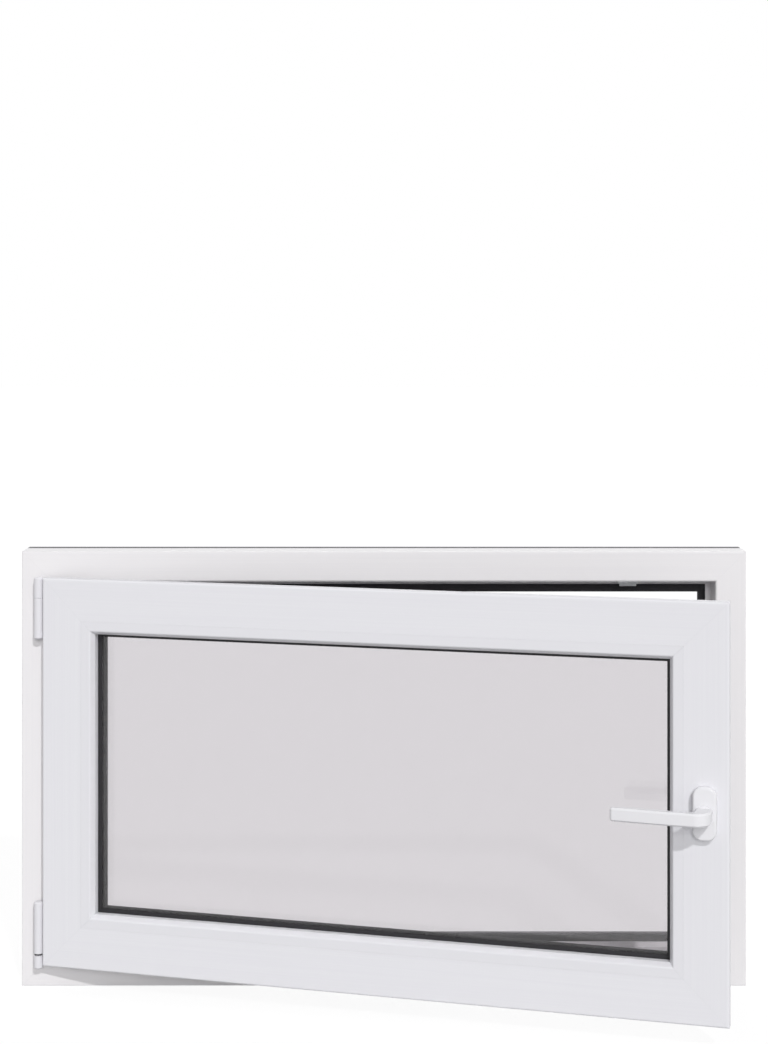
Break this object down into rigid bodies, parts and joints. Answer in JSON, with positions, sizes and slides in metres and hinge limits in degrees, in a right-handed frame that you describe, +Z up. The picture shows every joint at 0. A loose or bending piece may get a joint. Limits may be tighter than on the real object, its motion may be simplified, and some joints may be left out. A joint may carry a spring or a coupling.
{
  "type": "tilt and turn window",
  "caption": "Tilt and turn window: white inside, dark foil outside, insulated glass sash on a corner hinge and stay arm, lever handle.",
  "frame": {"origin": "underside of the sill at the frame's mid-width and mid-depth", "axes": "+X right as seen from the room, +Y from the room to the outdoors, +Z up"},
  "size_m": [1, 0.3695, 0.6],
  "materials": {
    "white_pvc": "satin",
    "white_plastic": "satin",
    "white_enamel": "satin",
    "white_coated_steel": "satin",
    "anthracite_foil": "grained matt",
    "anthracite_plastic": "matt",
    "seal_rubber": "matt",
    "zinc_steel": "zinc plated",
    "spacer_aluminium": "satin",
    "glass": "clear"
  },
  "bodies": {
    "frame": {"frame_head": "white_pvc", "frame_sill": "white_pvc", "frame_hinge_jamb": "white_pvc", "frame_lock_jamb": "white_pvc", "frame_foil": "anthracite_foil", "frame_seal": "seal_rubber", "drain_caps": "anthracite_plastic", "strikers": "zinc_steel", "stay_bearing": "zinc_steel", "stay_bearing_cover": "white_plastic", "corner_bearing": "white_coated_steel"},
    "pivot": {"pivot_seat": "zinc_steel"},
    "sash": {"sash_top_rail": "white_pvc", "sash_bottom_rail": "white_pvc", "sash_hinge_stile": "white_pvc", "sash_lock_stile": "white_pvc", "sash_foil": "anthracite_foil", "sash_seal": "seal_rubber", "bead_top": "white_pvc", "bead_bottom": "white_pvc", "bead_hinge": "white_pvc", "bead_lock": "white_pvc", "bead_gasket": "seal_rubber", "glazing_gasket": "seal_rubber", "inner_pane": "glass", "outer_pane": "glass", "glass_spacer": "spacer_aluminium", "faceplate_top": "zinc_steel", "faceplate_bottom": "zinc_steel", "faceplate_hinge": "zinc_steel", "faceplate_lock": "zinc_steel", "locking_cams": "zinc_steel", "corner_hinge": "zinc_steel", "corner_hinge_cover": "white_plastic", "handle_rosette": "white_enamel"},
    "stay": {"stay_arm": "zinc_steel", "stay_eye_cover": "white_plastic"},
    "handle": {"handle_lever": "white_enamel"}
  },
  "joints": [
    {"name": "turn", "type": "hinge", "parent": "frame", "child": "pivot", "pos_m": [-0.475, -0.042, 0.3], "axis": [0, 0, -1], "range_deg": [-15.3, 74.7]},
    {"name": "tilt", "type": "hinge", "parent": "pivot", "child": "sash", "pos_m": [-0.475, -0.042, 0.036], "axis": [0.9646, -0.2639, 0], "range_deg": [0, 8]},
    {"name": "stay_swing", "type": "hinge", "parent": "pivot", "child": "stay", "pos_m": [-0.475, -0.042, 0.55], "axis": [0, 0, -1], "range_deg": [0, 13.8]},
    {"name": "handle_turn", "type": "hinge", "parent": "sash", "child": "handle", "pos_m": [0.39105, -0.32869, 0.3025], "axis": [-0.2639, -0.9646, 0], "range_deg": [-90, 90]}
  ],
  "couplings": [
    {"joint": "stay_swing", "follows": "tilt", "ratio": 1.7244}
  ]
}
